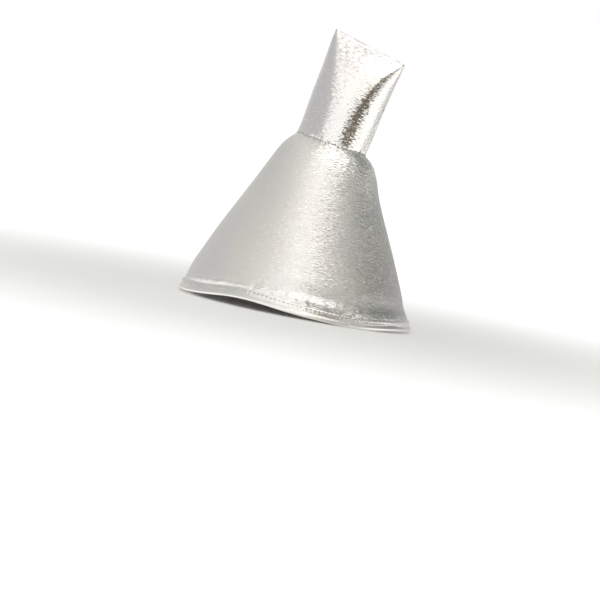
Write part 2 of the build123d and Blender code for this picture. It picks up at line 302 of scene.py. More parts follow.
class Cloth(Nodes):
    """A new material, with the noise and bumps that cloth needs."""

    def __init__(self, name):
        self.material = bpy.data.materials.new(name)
        self.material.use_nodes = True
        super().__init__(self.material.node_tree)
        self.shader = self.tree.nodes["Principled BSDF"]

    def set(self, **values):
        for key, value in values.items():
            self.shader.inputs[key.replace("_", " ")].default_value = value

    def put(self, key, output):
        self.tree.links.new(output, self.shader.inputs[key])

    def cloth_place(self, length_u, length_v, shift=0.0):
        """Cloth coordinates, scaled so that 1 unit is length_u by length_v."""
        uv = self.node("ShaderNodeTexCoord").outputs["UV"]
        mapping = self.node(
            "ShaderNodeMapping",
            {"Vector": uv, "Scale": (1 / length_u, 1 / length_v, 1), "Location": (shift, shift, 0)},
        )
        return mapping.outputs["Vector"]

    def speckle(self, length_u, length_v, detail=2.0, shift=0.0, distortion=0.0):
        """Noise with bumps length_u by length_v on the cloth, from 0 to 1."""
        place = self.cloth_place(length_u, length_v, shift)
        made = self.node(
            "ShaderNodeTexNoise",
            {"Vector": place, "Scale": 1.0, "Detail": detail, "Distortion": distortion},
        )
        return made.outputs["Fac"]

    def attribute(self, key):
        return self.node("ShaderNodeAttribute", attribute_name=key).outputs["Fac"]

    def fit(self, value, from_low, from_high, to_low=0.0, to_high=1.0):
        inputs = {"Value": value, "From Min": from_low, "From Max": from_high}
        inputs.update({"To Min": to_low, "To Max": to_high})
        return self.node("ShaderNodeMapRange", inputs).outputs["Result"]

    def mix(self, amount, a, b):
        return self.node("ShaderNodeMix", {0: amount, 6: a, 7: b}, data_type="RGBA").outputs[2]

    def bump(self, height, distance, strength=1.0, normal=None):
        inputs = {"Height": height, "Distance": distance, "Strength": strength}
        if normal is not None:
            inputs["Normal"] = normal
        return self.node("ShaderNodeBump", inputs).outputs["Normal"]


def colour(red, green, blue):
    return (red, green, blue, 1.0)


SILVER_TINTS = (colour(0.83, 0.81, 0.77), colour(0.80, 0.79, 0.78), colour(0.81, 0.77, 0.79))
PAINTED_CREASE_GREY = colour(0.30, 0.29, 0.27)     # painted shade in the creases of the crinkled foil
PAINTED_SHADE_GREY = colour(0.20, 0.20, 0.19)     # painted shade on the cone's right side and along the spout's side seams
# painted glints on small flecks
PAINTED_GLINT_WHITE = colour(1.0, 1.0, 1.0)


def lame_material(name, rough, crinkle_depth, dash_tilt):
    """Silver foil cloth: a fine knit under foil that is crinkled across and sparkles.

    Painted shade greys it in streaks on the cone's right side and along the spout's side seams.
    dash_tilt is how far the foil over each row of the knit leans to its left or right.
    """
    m = Cloth(name)
    m.set(Metallic=1.0)
    # the crinkle mask sets the crinkle's bump and gloss, and also how much painted crease shade goes in
    crinkled = m.attribute("crinkle")
    # mask of where glints are painted
    painted_glint_mask = m.attribute("painted_glint")

    warm = m.speckle(60 * MM, 90 * MM, 1.0)
    cool = m.speckle(45 * MM, 70 * MM, 1.0, shift=3.7)
    base = m.mix(m.fit(warm, 0.35, 0.65), SILVER_TINTS[0], SILVER_TINTS[1])
    base = m.mix(m.fit(cool, 0.45, 0.75), base, SILVER_TINTS[2])
    grain = m.speckle(2.4 * MM, 0.55 * MM, 3.0, shift=1.3)
    # painted shade: grey streaks where the crinkle mask is high, most on the cone's right side, fading out
    # where glints are painted
    painted_crease_shade = m.math("MULTIPLY", m.fit(grain, 0.52, 0.32), m.fit(crinkled, 0, 1, 0.02, 0.30))
    painted_crease_shade = m.math("MULTIPLY", painted_crease_shade, m.fit(painted_glint_mask, 0.5, 1.0, 1.0, 0.0))
    base = m.mix(painted_crease_shade, base, PAINTED_CREASE_GREY)
    # painted shade, broken into streaks by this noise
    shade_streaks = m.speckle(5.0 * MM, 0.6 * MM, 3.0, shift=7.7)
    painted_shade_share = m.math("MULTIPLY", m.attribute("painted_shade"), m.fit(shade_streaks, 0.35, 0.62, 0.45, 1.0))
    base = m.mix(painted_shade_share, base, PAINTED_SHADE_GREY)
    # painted glints: flecks turned white where the glint mask is high; they are also a little smoother
    fleck_place = m.cloth_place(1.7 * MM, 0.65 * MM, shift=0.4)
    fleck = m.node("ShaderNodeTexVoronoi", {"Vector": fleck_place, "Scale": 1.0})
    fleck_random = m.node("ShaderNodeSeparateColor", {"Color": fleck.outputs["Color"]})
    cluster = m.speckle(14 * MM, 6 * MM, 2.0, shift=6.6)
    share = m.math("MULTIPLY", m.fit(cluster, 0.42, 0.68, 0.1, 1.0), painted_glint_mask)
    painted_glint_flecks = m.math("GREATER_THAN", fleck_random.outputs[0], m.fit(share, 0, 1, 1.0, 0.62))
    small = m.math("LESS_THAN", fleck.outputs["Distance"], 0.45)
    painted_glint_flecks = m.math("MULTIPLY", painted_glint_flecks, small)
    base = m.mix(m.math("MULTIPLY", painted_glint_flecks, 0.9), base, PAINTED_GLINT_WHITE)
    m.put("Base Color", base)

    patchy = m.speckle(9 * MM, 3 * MM, 3.0, shift=5.1)
    roughness = m.fit(patchy, 0.3, 0.7, rough - 0.05, rough + 0.06)
    roughness = m.math("SUBTRACT", roughness, m.math("MULTIPLY", crinkled, 0.40 * rough))
    roughness = m.math("SUBTRACT", roughness, m.math("MULTIPLY", painted_glint_flecks, 0.08))
    m.put("Roughness", roughness)

    broad = m.speckle(3.6 * MM, 1.4 * MM, 2.0, shift=2.2, distortion=0.5)
    fine = m.speckle(2.0 * MM, 0.7 * MM, 2.0, shift=8.4)
    crinkle = m.math("ADD", m.math("MULTIPLY", broad, 0.65), m.math("MULTIPLY", fine, 0.35))
    crinkle = m.math("MULTIPLY", crinkle, m.fit(crinkled, 0, 1, 0.05, 1.0))
    knit_place = m.cloth_place(0.45 * MM, 0.45 * MM)
    knit = m.node("ShaderNodeTexVoronoi", {"Vector": knit_place, "Scale": 1.0, "Randomness": 0.35})
    height = m.math("ADD", crinkle, m.math("MULTIPLY", knit.outputs["Distance"], 0.04))
    dashes = m.fit(m.speckle(3.2 * MM, 0.6 * MM, 2.0, shift=5.5), 0.3, 0.7, -dash_tilt, dash_tilt)
    lean = m.math("ADD", m.math("MULTIPLY", dashes, m.fit(crinkled, 0, 1, 0.2, 1.0)), 0.5)
    leaning = m.node("ShaderNodeCombineXYZ", {"X": lean, "Y": 0.5, "Z": 1.0}).outputs[0]
    rows = m.node("ShaderNodeNormalMap", {"Color": leaning}).outputs["Normal"]
    m.put("Normal", m.bump(height, crinkle_depth, normal=rows))
    return m.material


def lining_material():
    """White tricot: fine upright ribs with short horizontal floats, slightly brushed."""
    m = Cloth("tricot")
    ribs = m.node(
        "ShaderNodeTexWave",
        {"Vector": m.cloth_place(1.1 * MM, 1.1 * MM), "Scale": 1.0, "Distortion": 0.6, "Detail": 1.0},
        bands_direction="X",
    ).outputs["Fac"]
    floats = m.speckle(0.7 * MM, 0.35 * MM, 2.0)
    fuzz = m.speckle(0.5 * MM, 0.5 * MM, 4.0, shift=4.0)
    marks = m.speckle(30 * MM, 30 * MM, 3.0, shift=9.0)
    base = m.mix(m.fit(marks, 0.35, 0.7), colour(0.80, 0.79, 0.76), colour(0.72, 0.70, 0.66))
    base = m.mix(m.math("MULTIPLY", ribs, 0.25), base, colour(0.62, 0.61, 0.58))
    m.put("Base Color", base)
    m.put("Roughness", m.fit(fuzz, 0.3, 0.7, 0.75, 0.95))
    m.set(Sheen_Weight=0.25, Sheen_Roughness=0.5)
    height = m.math("ADD", m.math("MULTIPLY", ribs, 0.6), m.math("MULTIPLY", floats, 0.5))
    height = m.math("ADD", height, m.math("MULTIPLY", fuzz, 0.3))
    m.put("Normal", m.bump(height, 0.18 * MM))
    return m.material


def foam_material():
    """Open-cell wadding: creamy, matte and full of small pores."""
    m = Cloth("wadding")
    cells = m.node(
        "ShaderNodeTexVoronoi",
        {"Vector": m.cloth_place(0.8 * MM, 0.8 * MM), "Scale": 1.0},
    ).outputs["Distance"]
    patches = m.speckle(14 * MM, 14 * MM, 3.0)
    base = m.mix(m.fit(patches, 0.3, 0.7), colour(0.82, 0.79, 0.70), colour(0.72, 0.68, 0.58))
    # painted shade: darker in the pores, where the bump sinks
    base = m.mix(m.fit(cells, 0.5, 0.1, 0, 0.35), base, colour(0.5, 0.47, 0.4))
    m.put("Base Color", base)
    m.put("Roughness", m.fit(patches, 0.3, 0.7, 0.85, 1.0))
    m.put("Normal", m.bump(cells, 0.3 * MM))
    return m.material


def thread_material(name, light, dark, rough):
    """Spun polyester thread: two plies twisted round each other."""
    m = Cloth(name)
    twist = m.node(
        "ShaderNodeTexWave",
        {"Vector": m.cloth_place(0.9 * MM, 0.9 * MM), "Scale": 1.0, "Distortion": 0.3},
        bands_direction="DIAGONAL",
    ).outputs["Fac"]
    fibre = m.speckle(0.6 * MM, 0.15 * MM, 2.0)
    # painted shade: darker in the grooves between the plies, where the bump sinks
    base = m.mix(m.fit(twist, 0.1, 0.8), dark, light)
    m.put("Base Color", m.mix(m.math("MULTIPLY", fibre, 0.3), base, dark))
    m.put("Roughness", m.fit(fibre, 0.3, 0.7, rough - 0.08, rough + 0.08))
    m.set(Sheen_Weight=0.3)
    m.put("Normal", m.bump(twist, 0.12 * MM))
    return m.material


def ribbon_material():
    """Grosgrain ribbon: crosswise ribs and a narrow woven edge."""
    m = Cloth("ribbon")
    ribs = m.node(
        "ShaderNodeTexWave",
        {"Vector": m.cloth_place(2.4 * MM, 2.4 * MM), "Scale": 1.0, "Distortion": 0.15},
        bands_direction="Y",
    ).outputs["Fac"]
    yarn = m.speckle(0.35 * MM, 0.9 * MM, 2.0)
    # painted shade: darker in the grooves between the ribs, where the bump sinks
    base = m.mix(m.fit(ribs, 0.1, 0.7), colour(0.55, 0.55, 0.54), colour(0.80, 0.80, 0.78))
    m.put("Base Color", m.mix(m.math("MULTIPLY", yarn, 0.25), base, colour(0.6, 0.6, 0.6)))
    m.put("Roughness", m.fit(yarn, 0.3, 0.7, 0.5, 0.7))
    m.set(Sheen_Weight=0.2)
    m.put("Normal", m.bump(m.math("ADD", ribs, m.math("MULTIPLY", yarn, 0.3)), 0.15 * MM))
    return m.material


def satin_material():
    """Blank satin label: long floats with a soft gloss."""
    m = Cloth("satin")
    floats = m.speckle(0.25 * MM, 2.5 * MM, 3.0)
    # painted shade of soft folds: broad lighter and darker patches
    folds = m.speckle(6 * MM, 12 * MM, 2.0, shift=2.0)
    m.put("Base Color", m.mix(m.fit(folds, 0.3, 0.7), colour(0.88, 0.88, 0.86), colour(0.80, 0.80, 0.78)))
    m.put("Roughness", m.fit(floats, 0.3, 0.7, 0.28, 0.42))
    m.set(Sheen_Weight=0.15)
    m.put("Normal", m.bump(floats, 0.06 * MM))
    return m.material


CONE_LAME = lame_material("lame_cone", rough=0.54, crinkle_depth=0.50 * MM, dash_tilt=0.12)
SPOUT_LAME = lame_material("lame_spout", rough=0.22, crinkle_depth=0.25 * MM, dash_tilt=0.12)
BRIM_LAME = lame_material("lame_brim", rough=0.42, crinkle_depth=0.25 * MM, dash_tilt=0.08)
LINING = lining_material()
FOAM = foam_material()
SILVER_THREAD = thread_material("silver_thread", colour(0.85, 0.85, 0.84), colour(0.5, 0.5, 0.5), 0.35)
WHITE_THREAD = thread_material("white_thread", colour(0.88, 0.88, 0.86), colour(0.62, 0.61, 0.58), 0.6)
RIBBON = ribbon_material()
SATIN = satin_material()


def finish_piece(obj, material, slot, body, *replaced):
    obj.data.materials.append(material)
    if replaced:
        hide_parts(*replaced)
    if body is not None:
        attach(obj, body)
    return obj


# ---- cone ---------------------------------------------------------------------------
CONE_SLANT = FOOT_R / math.sin(HALF_ANGLE)     # from the cone's foot to its missing point
SEAM_START = math.pi / 2                       # the back seam, as an angle from +X
SEAM_HALF_GAP = 0.0012                         # and half the gap in it, in radians
CLOTH_TUCK = 1.5 * MM                          # the cloth starts this far below the wall
CROWN_TURN = 0.5 * MM                          # radius of the fold round the crown's edge
CROWN_TURN_ROWS = 5
ALLOWANCE_DEPTHS = (2.0 * MM, 4.0 * MM, 6.5 * MM)


def wall_profile(s):
    """Radius, height and slope of the cone's outer line at distance s up from its foot."""
    line_s = np.minimum(s, LINE_L)
    slope = HALF_ANGLE + np.clip(s - LINE_L, 0, BEND_L) / SHOULDER_BEND
    r = np.where(
        s < LINE_L,
        FOOT_R - line_s * math.sin(HALF_ANGLE),
        BEND_CENTRE_R + SHOULDER_BEND * np.cos(slope),
    )
    z = np.where(
        s < LINE_L,
        FOOT_Z + line_s * math.cos(HALF_ANGLE),
        BEND_CENTRE_Z + SHOULDER_BEND * np.sin(slope),
    )
    return r, z, slope


def brim_wave(theta):
    """How far the soft brim stands up: most at the front left, least at the front right."""
    from_front = np.degrees(np.angle(np.exp(1j * (theta + math.pi / 2))))
    sides = 1.4 * smooth(np.cos(np.radians(from_front)), -0.7, 0.1)
    lifted = 4.2 * np.exp(-(((from_front + 27) / 24) ** 2))
    dipped = 1.4 * np.exp(-(((from_front - 32) / 18) ** 2))
    return (sides + lifted - dipped) * MM


def settle(x, y, z):
    """The soft hat's own lean, its wavy brim and its tilted crown, for points of the cone."""
    share = np.clip((z - FOOT_Z) / (CROWN_Z - FOOT_Z), 0, 1)
    wave = brim_wave(np.arctan2(y, x)) * (1 - share) ** 2
    sway = SWAY * smooth(z, 1 * MM, 18 * MM) * (1 - 0.6 * share)
    sway = sway * (1 - smooth(z, CROWN_Z - 14 * MM, CROWN_Z))
    tilt = -math.tan(CROWN_TILT) * x * share**3
    return np.stack([x + CROWN_X * z / CROWN_Z - sway, y, z + wave + tilt], axis=-1)


def wall_point(theta, s, lift):
    """A point at angle theta and distance s up the wall, lifted off its outer face."""
    r, z, slope = wall_profile(s)
    r = r + lift * np.cos(slope)
    z = z + lift * np.sin(slope)
    return settle(r * np.cos(theta), r * np.sin(theta), z)


def crown_pucker(theta):
    """Gathers where the cone and spout are sewn together, around the ring."""
    return 0.6 * around(theta, 4.5 * MM, 1, CROWN_R) + 0.4 * around(theta, 2.5 * MM, 2, CROWN_R)


def brim_pucker(theta):
    return 0.6 * around(theta, 6 * MM, 3) + 0.4 * around(theta, 3.2 * MM, 4)


def wall_slack(theta, s):
    """The slow waves that every layer of the wall shares."""
    waves = 0.7 * MM * around_wall(theta, s, 60 * MM, 60 * MM, 1)
    return waves + PUFF * smooth(s, 8 * MM, 24 * MM) * smooth(WALL_L - s, 0, 30 * MM)


def hem_puff(theta, above):
    """The cloth hangs straight down over the last of the wall, then tucks into the brim."""
    widest_at = 3.4 * MM
    at_left = smooth(-np.sin(theta + math.radians(42)), 0.0, 0.5)
    at_front = smooth(-np.sin(theta), 0.15, 0.6)
    height = (1.25 + 0.6 * brim_pucker(theta[0])[None, :]) * (0.15 + 0.85 * at_left * at_front)
    fading = np.exp(-((np.maximum(above - widest_at, 0) / (3.2 * MM)) ** 2))
    belly = smooth(above, 0, widest_at) * fading
    return (height * belly - 0.5 * smooth(-above, -1 * MM, 1 * MM)) * MM


def wall_lift(theta, s):
    """How far the cone's cloth stands off its plain outline."""
    right = right_side(theta)
    drag = 0.05 * MM * around_wall(theta + 0.012 * s / MM, s, 26 * MM, 7 * MM, 2) * right
    drag = drag + 0.022 * MM * around_wall(theta - 0.004 * s / MM, s, 9 * MM, 2.2 * MM, 3) * right
    gathers = 0.8 * MM * crown_pucker(theta[0])[None, :] * np.exp(-(WALL_L - s) / (2.5 * MM))
    folds = 0.13 * MM * around_wall(theta, s, 7 * MM, 1.8 * MM, 4) * crown_folds(theta, s)
    slow = wall_slack(theta, s) + shoulder(theta, s)
    return slow + drag + gathers + folds + hem_puff(theta, s - up_wall(BINDING_TOP))


def shoulder(theta, s):
    """The cloth stands fuller on its shoulder on the side that the spout leans to."""
    side = smooth(np.cos(theta), 0.1, 1.0)
    return 1.7 * MM * side * np.exp(-(((WALL_L - s - 17 * MM) / (12 * MM)) ** 2))


def crown_folds(theta, s):
    """1 on the shoulder at the front right, where the cloth is creased under the spout."""
    beside = smooth(np.cos(theta + math.radians(54)), 0.40, 0.95)
    return beside * np.exp(-(((WALL_L - s - 10 * MM) / (8 * MM)) ** 2))


def right_side(theta):
    """1 on the side towards +X and the front, where the cloth is creased; through the crinkle mask it also
    brings painted shade there.
    """
    return smooth(np.cos(theta + math.radians(35)), -0.1, 0.75)


def front_side(theta):
    """1 on a band down the front, a little to the right, where painted glints stand for the foil catching
    the light.
    """
    return np.exp(-((np.cos(theta + math.radians(72)) - 1) / 0.25) ** 2)


def painted_side_shade(theta, s):
    """How much painted shade the foil gets: most on the far right, less towards the crown."""
    side = smooth(np.cos(theta + math.radians(12)), 0.45, 1.0)
    return 0.62 * side * (1 - 0.4 * smooth(s, 0.6 * WALL_L, WALL_L)) * (1 - crown_folds(theta, s))


def back_seam_groove(theta, s):
    """How deep the cloth dips into the back seam."""
    distance = np.minimum(theta - SEAM_START, SEAM_START + TURN - theta) * FOOT_R
    pull = 1 + 0.5 * around_wall(0 * theta, s, 5 * MM, 5 * MM, 7)
    return (-0.8 * np.exp(-distance / (0.9 * MM)) - 0.25 * pull * np.exp(-distance / (4 * MM))) * MM


def seam_angles(columns):
    """Angles from one side of the back seam, round the front, to its other side.

    The columns lie closer together beside the seam, where the cloth dips into it.
    """
    t = np.linspace(-1, 1, columns)
    eased = 0.94 * t + 0.06 * t**9
    return SEAM_START + math.pi + eased * (math.pi - SEAM_HALF_GAP)


def crown_allowance(edge):
    """Rows that turn the cloth's top edge inwards, then straight down inside the crown."""
    inward = (edge.mean(axis=0) - edge) * [1, 1, 0]
    inward /= np.linalg.norm(inward, axis=1, keepdims=True)
    rows = []
    for i in range(1, CROWN_TURN_ROWS + 1):
        angle = math.pi / 2 * i / CROWN_TURN_ROWS
        drop = [0, 0, CROWN_TURN * (1 - math.cos(angle))]
        rows.append(edge + inward * CROWN_TURN * math.sin(angle) - drop)
    folded = rows[-1]
    for depth in ALLOWANCE_DEPTHS:
        rows.append(folded - [0, 0, depth])
    return np.stack(rows)


def cone_crinkle_and_painted_light(theta, s):
    """How crinkled the cone's foil is, and where its material paints glints and shade."""
    right = right_side(theta)
    near_crown = np.exp(-(WALL_L - s) / (10 * MM))
    from_hem = s - up_wall(BINDING_TOP + 2 * MM)
    hem = np.exp(-((from_hem / (2.6 * MM)) ** 2)) * smooth(-np.sin(theta), -0.2, 0.5)
    folds = crown_folds(theta, s)
    # the crinkle mask also brings painted crease shade, most on the right side and near the crown
    crinkle = 0.04 + 0.6 * right + 0.4 * near_crown + 0.9 * hem + folds
    # painted glints: on the front band, near the crown, on the ridge above the binding and on the creased
    # shoulder
    painted_glint = 0.12 + 0.3 * front_side(theta) + near_crown * (0.4 + right) + 1.5 * hem + folds
    return {
        "crinkle": np.clip(crinkle, 0, 1),
        "painted_glint": np.clip(painted_glint, 0, 1),
        "painted_shade": painted_side_shade(theta, s),
    }


def make_cone_cloth():
    """The lame panel, from just inside the binding to its allowance inside the crown."""
    rows, columns = 150, 420
    theta = seam_angles(columns)[None, :].repeat(rows, axis=0)
    s = np.linspace(-CLOTH_TUCK, WALL_L, rows)[:, None].repeat(columns, axis=1)
    wall = wall_point(theta, s, wall_lift(theta, s) + back_seam_groove(theta, s))
    allowance = crown_allowance(wall[-1])

    def extended(values):
        return np.concatenate([values, np.repeat(values[-1:], len(allowance), axis=0)])

    attributes = {key: extended(values) for key, values in cone_crinkle_and_painted_light(theta, s).items()}
    far = CONE_SLANT - extended(s)
    turned = (extended(theta) - 3 * math.pi / 2) * math.sin(HALF_ANGLE)
    flat_place = np.stack([far * np.sin(turned), -far * np.cos(turned)], axis=2)
    grid = np.concatenate([wall, allowance])
    piece = cloth("cone_cloth", grid, LAME_T, attributes=attributes, uv=flat_place)
    return finish_piece(piece, CONE_LAME, "silver_lame", "cone", "cone_shell")


def make_wall_layer(name, depth, thickness, rows, columns, ripple_depth, seed):
    """A layer behind the cone's cloth, following its slow waves."""
    theta = seam_angles(columns)[None, :].repeat(rows, axis=0)
    s = np.linspace(0.5 * MM, WALL_L - 2.5 * MM, rows)[:, None].repeat(columns, axis=1)
    slack = wall_slack(theta, s)
    own = ripple_depth * around_wall(theta, s, 16 * MM, 11 * MM, seed)
    edges = smooth(s, 0, 12 * MM) * smooth(WALL_L - s, 2 * MM, 12 * MM)
    grid = wall_point(theta, s, slack - depth + own * edges)
    return cloth(name, grid, thickness)


def make_cone_padding():
    depth, thickness = LAME_T + 1.3 * MM, FOAM_T - 1.5 * MM
    piece = make_wall_layer("cone_padding", depth, thickness, rows=40, columns=160, ripple_depth=0, seed=5)
    return finish_piece(piece, FOAM, "backing_foam", "cone", "cone_foam")


def make_lining_cloth():
    depth = LAME_T + FOAM_T
    size = {"rows": 90, "columns": 260, "ripple_depth": 0.35 * MM}
    piece = make_wall_layer("lining_cloth", depth, LINING_T, seed=6, **size)
    return finish_piece(piece, LINING, "tricot_lining", "cone", "cone_lining")


# ---- brim ---------------------------------------------------------------------------
# The folded strip's section, as (distance inside the brim's radius, height), from its
# edge on the cone's outer face, down round the fold and up to its edge on the lining.
STRIP_SECTION = [
    (3.9, 6.4),
    (3.4, 7.0),
    (2.7, 7.0),
    (2.2, 6.2),
    (1.8, 5.0),
    (1.5, 3.9),
    (1.3, 3.1),
    (0.7, 2.7),
    (0.1, 1.9),
    (0.1, 0.9),
    (0.9, 0.1),
    (2.2, 0.0),
    (4.2, 0.0),
    (6.2, 0.2),
    (7.6, 1.4),
    (8.2, 3.4),
    (8.8, 5.6),
    (9.5, 7.6),
    (9.8, 8.6),
]


def smooth_line(points, count):
    """Evenly spaced points on a smooth curve through the given ones."""
    points = np.asarray(points, float)
    padded = np.concatenate([[2 * points[0] - points[1]], points, [2 * points[-1] - points[-2]]])
    pieces = []
    for i in range(len(points) - 1):
        p0, p1, p2, p3 = padded[i : i + 4]
        t = np.linspace(0, 1, 12, endpoint=False)[:, None]
        pieces.append(
            0.5 * (2 * p1 + (p2 - p0) * t + (2 * p0 - 5 * p1 + 4 * p2 - p3) * t**2
                   + (3 * p1 - p0 - 3 * p2 + p3) * t**3)
        )
    return evenly(np.concatenate(pieces + [points[-1:]]), count)


def make_brim_strip():
    columns = 640
    section = smooth_line(STRIP_SECTION, 70) * MM
    rows = len(section)
    theta = (np.arange(columns) * TURN / columns)[None, :].repeat(rows, axis=0)
    inset = section[:, :1].repeat(columns, axis=1)
    height = section[:, 1:].repeat(columns, axis=1)
    girth = BRIM_R * theta
    path = np.linspace(0, 1, rows)[:, None]
    outer_face = smooth(0.55 - path, 0, 0.15)
    top_edge = np.exp(-(((path - 0.10) / 0.07) ** 2))
    face = np.exp(-(((path - 0.20) / 0.09) ** 2))

    pucker = brim_pucker(theta[0])[None, :]
    dimple = -np.cos(theta * STITCHES)
    lines = ripple(girth, height, 24 * MM, 1.1 * MM, 11)
    soft = around(theta[0], 22 * MM, 12)[None, :]
    out = 0.10 * lines * face + 0.14 * dimple * top_edge + 0.18 * pucker * top_edge + 0.35 * soft
    r = BRIM_R - 0.4 * MM - inset + outer_face * out * MM
    z = np.maximum(height + (0.22 * soft + 0.12 * pucker) * top_edge * MM, 0)
    grid = settle(r * np.cos(theta), r * np.sin(theta), z)
    # painted glints along the strip's top edge; the crinkle mask puts faint painted crease shade over the
    # rest
    crinkle = np.full(theta.shape, 0.35) + 0.4 * top_edge
    attributes = {"crinkle": crinkle, "painted_glint": 0.15 + 0.7 * top_edge + 0 * theta}
    piece = cloth("brim_strip", grid, LAME_T, closed=True, outward=-1, attributes=attributes)
    return finish_piece(piece, BRIM_LAME, "silver_lame", "cone", "brim_binding")


# ---- stitches -----------------------------------------------------------------------
def stitch_rings(start, end, out, radius, bow, sink):
    """One stitch from start to end: it bows out over the cloth and sinks in at its ends."""
    t = np.linspace(0, 1, 7)
    lift = bow * np.sin(math.pi * t) - sink * (1 - np.sin(math.pi * t)) ** 3
    path = start + (end - start) * t[:, None] + out * lift[:, None]
    return tube_points(path, radius * (0.75 + 0.25 * np.sin(math.pi * t)), 6, up=np.tile(out, (7, 1)))


def stitch_row(name, points, outs, gap_share, radius, bow, sink, closed=True):
    """Stitches along a line of points, with a gap between each two."""
    rings = []
    count = len(points)
    for i in range(count if closed else count - 1):
        here, there = points[i], points[(i + 1) % count]
        out = outs[i] / np.linalg.norm(outs[i])
        start = here + (there - here) * gap_share / 2
        end = there + (here - there) * gap_share / 2
        rings.append(stitch_rings(start, end, out, radius, bow, sink))
    return tubes(name, rings)


def make_binding_stitches():
    """Top-stitching along the upper edge of the binding, one stitch to each dimple."""
    rng = np.random.default_rng(21)
    theta = (np.arange(STITCHES) + rng.uniform(-0.06, 0.06, STITCHES)) * TURN / STITCHES
    inset = 2.45 * MM + rng.normal(0, 0.05 * MM, STITCHES)
    height = 6.2 * MM + rng.normal(0, 0.10 * MM, STITCHES)
    soft = around(theta, 22 * MM, 12) * 0.35 * MM
    r = BRIM_R - inset + soft
    points = settle(r * np.cos(theta), r * np.sin(theta), height)
    outs = np.stack([np.cos(theta), np.sin(theta), np.full(STITCHES, 0.45)], axis=1)
    thread = {"radius": 0.24 * MM, "bow": 0.16 * MM, "sink": 0.5 * MM}
    piece = stitch_row("binding_stitches", points, outs, gap_share=0.34, **thread)
    return finish_piece(piece, SILVER_THREAD, "silver_thread", "cone", "binding_thread")


def make_crown_stitches():
    """Short slanting hand stitches that join the spout's foot to the cone."""
    count = 64
    rng = np.random.default_rng(22)
    theta = (np.arange(count) + rng.uniform(-0.2, 0.2, count)) * TURN / count
    low = wall_point(theta, np.full(count, WALL_L - 1.1 * MM), np.full(count, 0.25 * MM))
    high_theta = theta + 0.035
    ring = wall_point(high_theta, np.full(count, WALL_L), np.full(count, 0.1 * MM))
    high = ring + [0, 0, 0.9 * MM]
    rings = []
    for i in range(count):
        out = np.array([math.cos(theta[i]), math.sin(theta[i]), 0.7])
        out /= np.linalg.norm(out)
        rings.append(stitch_rings(low[i], high[i], out, radius=0.22 * MM, bow=0.25 * MM, sink=0.4 * MM))
    piece = tubes("crown_stitches", rings)
    return finish_piece(piece, SILVER_THREAD, "silver_thread", "cone", "crown_seam_thread")


# ---- spout --------------------------------------------------------------------------
FOOT = np.array([CROWN_X, 0.0, CROWN_Z])
TOP_LEFT = np.array([top_low[0], top_high[1], top_high[2]])
TOP_RIGHT = np.array([top_high[0], top_low[1], top_low[2]])
TOP_MIDDLE = (TOP_LEFT + TOP_RIGHT) / 2
ALONG_TOP = (TOP_RIGHT - TOP_LEFT) / np.linalg.norm(TOP_RIGHT - TOP_LEFT)
SPOUT_AXIS = (TOP_MIDDLE - FOOT) / np.linalg.norm(TOP_MIDDLE - FOOT)
SPOUT_L = float(np.linalg.norm(TOP_MIDDLE - FOOT)) - 0.2 * MM
TOP_HALF_W = 27.3 * MM
TOP_HALF_T = 2.2 * MM
FACET_MIDDLE = math.radians(3)     # where the flat front meets the crown, towards +X
FACET_SPREAD = math.radians(26)
FULLNESS = 3.0                     # the spout stays round for its lower half, as in the CAD
PILLOW = 0.5 * MM                  # the padding rounds the front and back by this much
SIDE_PUFF = 0.7 * MM

ACROSS = ALONG_TOP * [1, 1, 0]
ACROSS /= np.linalg.norm(ACROSS)
FRONT = np.array([ACROSS[1], -ACROSS[0], 0.0])
TOP_FRONT = np.cross(ALONG_TOP, SPOUT_AXIS)
TOP_FRONT *= np.sign(np.dot(TOP_FRONT, FRONT))

SKIRT_DEPTHS = (6.5 * MM, 4.0 * MM, 2.0 * MM, 0.8 * MM)     # rows of the allowance at its foot
SKIRT_ROWS = len(SKIRT_DEPTHS)
CAP_ROWS = 6                       # rows that round the top over to its seam
CAP_RISE = 1.5 * MM
CAP_SINK = 0.6 * MM                # the seam itself lies this much lower


def spout_section(angle, h):
    """Points of the spout's outer face at angles round it and share h of its length.

    At the foot it is the crown's ring, at the top a flat, round-ended slot. Between them
    the cloth bends but hardly stretches: a flat facet in the middle of each side, and
    part of a cone towards each corner.
    """
    round_x, round_y = -np.cos(angle), np.sin(angle)
    ring = (CROWN_R + 0.3 * MM) * (round_x[:, None] * ACROSS + round_y[:, None] * FRONT)
    ring[:, 2] -= math.tan(CROWN_TILT) * ring[:, 0]
    from_middle = angle % math.pi - math.pi / 2 - np.where(angle < math.pi, FACET_MIDDLE, 0)
    side = np.sign(from_middle) * smooth(np.abs(from_middle) / FACET_SPREAD)
    side = np.where(round_y >= 0, side, -side)
    slot = (side * (TOP_HALF_W - TOP_HALF_T))[:, None] * ALONG_TOP
    slot = slot + TOP_HALF_T * (round_x[:, None] * ALONG_TOP + round_y[:, None] * TOP_FRONT)
    flatness = h**FULLNESS
    pushed = PILLOW * round_y[:, None] * FRONT + SIDE_PUFF * round_x[:, None] * ACROSS
    shape = ring * (1 - flatness) + slot * flatness + math.sin(math.pi * h) * pushed
    return FOOT + SPOUT_AXIS * SPOUT_L * h + shape


